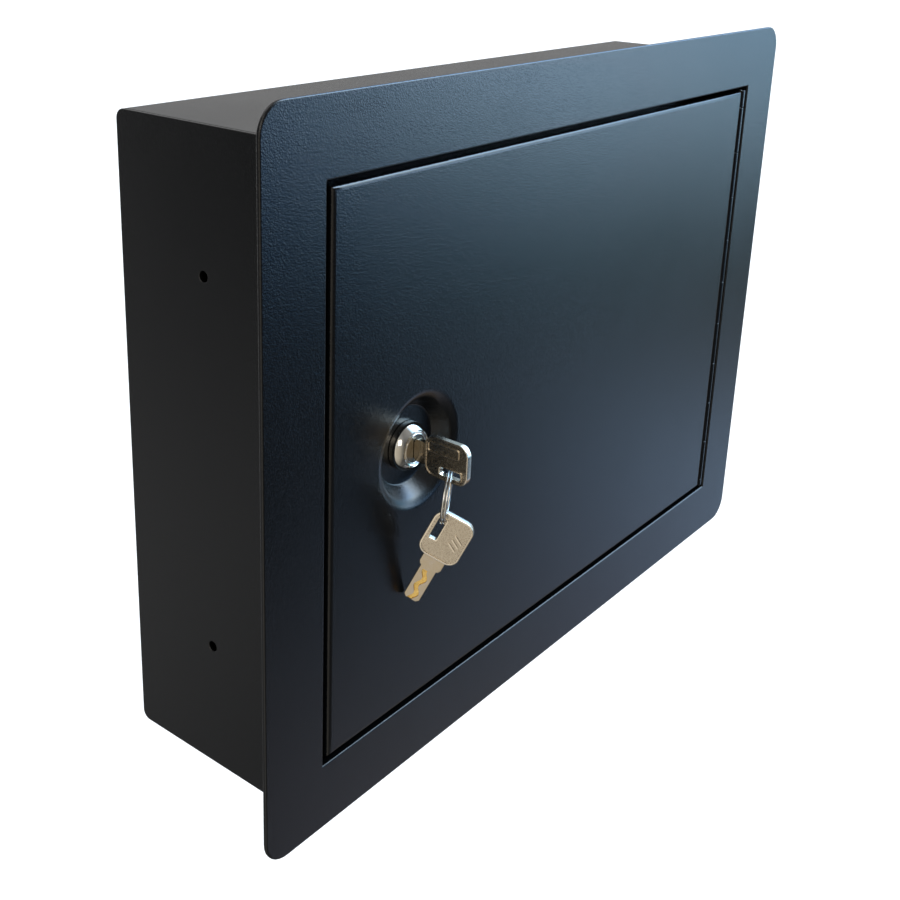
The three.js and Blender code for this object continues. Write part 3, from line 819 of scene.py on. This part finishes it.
def key_ring():
    """Two coils of round wire side by side, joined by a short jog."""
    radius, jog, blunt, steps = RING["radius"], RING["jog"], RING["blunt"], 160
    path = []
    for i in range(steps + 1):
        angle = jog + blunt + i / steps * (4 * math.pi - jog - 2 * blunt)
        s = min(1, max(0, (angle - 2 * math.pi) / jog))
        across = RING["pitch"] * (s * s * (3 - 2 * s) - 0.5)
        path.append(Vector((radius * math.cos(angle), across, radius * math.sin(angle))))
    bm = bmesh.new()
    tube(bm, path, RING["wire"])
    place = Matrix.Translation(hang_point()) @ RING_LIE @ Matrix.Translation((0, 0, -RING_INNER))
    piece = smoothed(from_bmesh("key_ring_wire", bm, place), 60)
    return stands_for(piece, "key_ring", "ring", WIRE)


# ---- nodes that keep their CAD shape ---------------------------------------------------------
def finish_node(node, material, edge):
    """Gives a CAD node its finish, with its facets merged and its edges rounded by modifiers."""
    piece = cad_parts[node]
    for entry in piece.material_slots:
        entry.material = material
    weld = piece.modifiers.new("weld", "WELD")
    weld.merge_threshold = 0.01 * MM
    flat = piece.modifiers.new("merged_facets", "DECIMATE")
    flat.decimate_type = "DISSOLVE"
    flat.angle_limit = math.radians(1)
    if edge:
        rounded_edges(piece, edge, 50)


# ---- camera, stage and lights ----------------------------------------------------------------
CAMERA = {
    "azimuth": -50.905, "elevation": 18.328, "roll": 1.494, "distance": 0.46589,
    "lens": 49.345, "aim_x": -0.1292, "aim_z": 0.06577, "shift_x": 0.06, "shift_y": -0.16,
}


def make_camera():
    azimuth, elevation, roll = (math.radians(CAMERA[k]) for k in ("azimuth", "elevation", "roll"))
    flat = math.cos(elevation)
    back = Vector((math.sin(azimuth) * flat, -math.cos(azimuth) * flat, math.sin(elevation)))
    right = UP.cross(back).normalized()
    up = back.cross(right)
    rolled_right = right * math.cos(roll) + up * math.sin(roll)
    rolled_up = up * math.cos(roll) - right * math.sin(roll)
    data = bpy.data.cameras.new("camera")
    data.sensor_width = 36
    data.lens = CAMERA["lens"]
    data.shift_x, data.shift_y = CAMERA["shift_x"], CAMERA["shift_y"]
    data.clip_start = 0.01
    camera = bpy.data.objects.new("camera", data)
    bpy.context.scene.collection.objects.link(camera)
    aim = Vector((CAMERA["aim_x"], FACE_Y * MM, CAMERA["aim_z"]))
    turn = Matrix((rolled_right, rolled_up, back)).transposed().to_4x4()
    camera.matrix_world = Matrix.Translation(aim + back * CAMERA["distance"]) @ turn
    bpy.context.scene.camera = camera


def make_floor():
    """A plain pale floor well below the safe, which hangs in a wall."""
    bm = bmesh.new()
    half, height = 12, -0.55
    corners = [(-half, -half), (half, -half), (half, half), (-half, half)]
    bm.faces.new([bm.verts.new((x, y, height)) for x, y in corners])
    mesh = bpy.data.meshes.new("floor")
    bm.to_mesh(mesh)
    bm.free()
    floor = bpy.data.objects.new("floor", mesh)
    bpy.context.scene.collection.objects.link(floor)
    finish = Finish("pale_floor")
    tone = finish.noise(3, detail=2)
    finish.set(Base_Color=finish.ramp(tone, (0.3, 0.24), (0.7, 0.26)), Roughness=0.9)
    finish.set(Emission_Color=(1, 1, 1), Emission_Strength=0.97)
    mesh.materials.append(finish.material)
    floor.visible_glossy = False


def softbox(name, place, aim, width, height, power, color):
    data = bpy.data.lights.new(name, "AREA")
    data.shape = "RECTANGLE"
    data.size, data.size_y = width, height
    data.energy = power
    data.color = color
    light = bpy.data.objects.new(name, data)
    bpy.context.scene.collection.objects.link(light)
    light.location = place
    light.rotation_euler = (Vector(aim) - Vector(place)).to_track_quat("-Z", "Y").to_euler()
    return light


# The light that comes from each direction of the room, in columns at a few headings. Headings are
# in degrees: 0 is straight in front of the door, 90 to its right and -90 to its left. Each column
# gives the light at the heights below, from straight down to straight up.
HEIGHTS = (-90, -40, -33, -25, -18, -13, -8, 0, 15, 40, 65, 90)
DIM_SIDE = (0.1, 0.16, 0.3, 0.28, 0.16, 0.11, 0.11, 0.11, 0.15, 0.2, 0.25, 0.3)
WARM = (0.8, 0.74, 0.64)
LAMP = (2.2, 2.05, 1.75)
OVER_TOP = (0.2, 0.26, 0.27, 0.3, 0.3, 0.3, 0.33, 0.43, 0.46, 0.5, 0.4, 0.3)
BEHIND = (0.1, 0.2, 0.4, 0.6, 0.8, 0.9, 1.0, 1.0, 1.1, 1.2, 1.0, 0.6)
ROOM = [
    (-180, BEHIND),
    (-140, DIM_SIDE),
    (-118, DIM_SIDE),
    (-98, (0.2, 0.6, *[WARM] * 6, 1.2, LAMP, 0.6, 0.3)),
    (-72, (0.2, 0.6, *[WARM] * 6, 1.2, LAMP, 0.6, 0.3)),
    (-60, (0.1, *[(0.55, 0.5, 0.42)] * 7, 0.5, 0.4, 0.2, 0.2)),
    (-40, (0.1, *[(0.4, 0.37, 0.31)] * 7, 0.4, 0.3, 0.2, 0.2)),
    (-20, (0.1, *[0.06] * 7, 0.1, 0.2, 0.2, 0.2)),
    (25, (0.1, 0.15, 0.1, 0.08, 0.08, 0.1, 0.1, 0.1, 0.15, 0.3, 0.3, 0.3)),
    (45, (
        0.05, (0.2, 0.2, 0.24), 0, 0, 0, (0.06, 0.3, 0.9), (0.8, 1.3, 2.2), (0.6, 1.3, 2.1),
        (0.8, 1.2, 1.7), (1.6, 2.6, 3.6), 0.7, 0.3,
    )),
    (56, (
        0.1, (0.6, 0.65, 0.8), (0.35, 0.5, 0.7), 0, (0.28, 0.4, 0.5), (0.3, 1.0, 1.3),
        (3.8, 5.2, 6.5), (4.2, 5.7, 7.6), (3.0, 4.5, 5.7), (8.6, 10.2, 11.2), (2.4, 2.8, 3.2), 0.3,
    )),
    (66, (
        0.1, (0.3, 0.2, 0.1), (0.5, 0.55, 0.75), (0.75, 1.1, 1.6), 0.2, 0.02, (0.6, 1.1, 1.5),
        (0.7, 1.6, 2.4), (1.5, 2.3, 3.2), (7.6, 9.8, 12.0), (2.0, 2.5, 3.0), 0.3,
    )),
    (90, (
        0.1, 0.12, 0.15, 0.2, 0.24, 0.28, 0.3, 0.4, (0.5, 0.8, 1.2), (2.4, 5.6, 11.0),
        (1.2, 1.8, 2.6), 0.3,
    )),
    (112, (0.12, 0.15, 0.2, 0.3, 0.3, 0.3, 0.31, 0.4, 0.43, 0.6, 0.5, 0.3)),
    (130, OVER_TOP),
    (158, OVER_TOP),
    (180, BEHIND),
]


def math_node(nodes, links, operation, *sources):
    made = nodes.new("ShaderNodeMath")
    made.operation = operation
    for i, source in enumerate(sources):
        if isinstance(source, (int, float)):
            made.inputs[i].default_value = source
        else:
            links.new(source, made.inputs[i])
    return made.outputs[0]


def room_color(nodes, links):
    """The room's colour in the direction looked at: elevation ramps blended by heading."""
    coordinates = nodes.new("ShaderNodeTexCoord")
    split = nodes.new("ShaderNodeSeparateXYZ")
    links.new(coordinates.outputs["Generated"], split.inputs[0])
    toward_room = math_node(nodes, links, "MULTIPLY", split.outputs["Y"], -1.0)
    heading = math_node(nodes, links, "ARCTAN2", split.outputs["X"], toward_room)
    heading = math_node(nodes, links, "DEGREES", heading)
    elevation = math_node(nodes, links, "ARCSINE", split.outputs["Z"])
    elevation = math_node(nodes, links, "DEGREES", elevation)
    height = math_node(nodes, links, "MULTIPLY_ADD", elevation, 1 / 180, 0.5)
    color = None
    for i, (at, column) in enumerate(ROOM):
        stops = [((degrees + 90) / 180, value) for degrees, value in zip(HEIGHTS, column)]
        ramp = ramp_node(nodes, stops)
        links.new(height, ramp.inputs["Fac"])
        if color is None:
            color = ramp.outputs["Color"]
            continue
        share = nodes.new("ShaderNodeMapRange")
        share.inputs["From Min"].default_value = ROOM[i - 1][0]
        share.inputs["From Max"].default_value = at
        links.new(heading, share.inputs["Value"])
        mix = nodes.new("ShaderNodeMix")
        mix.data_type = "RGBA"
        links.new(share.outputs["Result"], mix.inputs["Factor"])
        links.new(color, mix.inputs[6])
        links.new(ramp.outputs["Color"], mix.inputs[7])
        color = mix.outputs[2]
    return color


def make_world():
    """White to the camera; for light and reflections, the soft room described above."""
    world = bpy.data.worlds.new("studio")
    bpy.context.scene.world = world
    world.use_nodes = True
    nodes, links = world.node_tree.nodes, world.node_tree.links
    nodes.clear()
    room = nodes.new("ShaderNodeBackground")
    links.new(room_color(nodes, links), room.inputs["Color"])
    white = nodes.new("ShaderNodeBackground")
    white.inputs["Color"].default_value = (1, 1, 1, 1)
    path = nodes.new("ShaderNodeLightPath")
    mix = nodes.new("ShaderNodeMixShader")
    links.new(path.outputs["Is Camera Ray"], mix.inputs["Fac"])
    links.new(room.outputs[0], mix.inputs[1])
    links.new(white.outputs[0], mix.inputs[2])
    output = nodes.new("ShaderNodeOutputWorld")
    links.new(mix.outputs[0], output.inputs["Surface"])


def make_lights():
    softbox("front_left", (-1.3, -1.3, 0.7), (-0.1, 0, -0.02), 0.5, 0.7, 3, (1.0, 0.9, 0.76))


# ---- assembly --------------------------------------------------------------------------------
make_camera()
make_floor()
make_world()
make_lights()
bpy.context.scene.view_settings.view_transform = "Standard"

front_frame()
side_panel("side_panel_left")
side_panel("side_panel_right")
body_wrapper()
hinge_leaf("hinge_leaf_frame", "case", 0, 1)
hinge_leaf("hinge_leaf_door", "door", 1, -1)
hinge_pin()
door_panel()
lock_cap()
lock_housing()
placed_key("key_in_lock_bow", key_in_lock_place(), "key_in_lock", "key")
placed_key("spare_key_bow", spare_key_place(), "spare_key", "spare")
key_ring()

finish_node("lock_plug", PLUG, 0)
for node in ("lock_nut", "lock_washer", "stop_washer", "lock_cam", "cam_washer", "cam_screw"):
    finish_node(node, PLATED, 0.15)
for index in range(1, 6):
    finish_node(f"wafer_{index}", BRASS, 0)
    finish_node(f"wafer_spring_{index}", PLATED, 0)
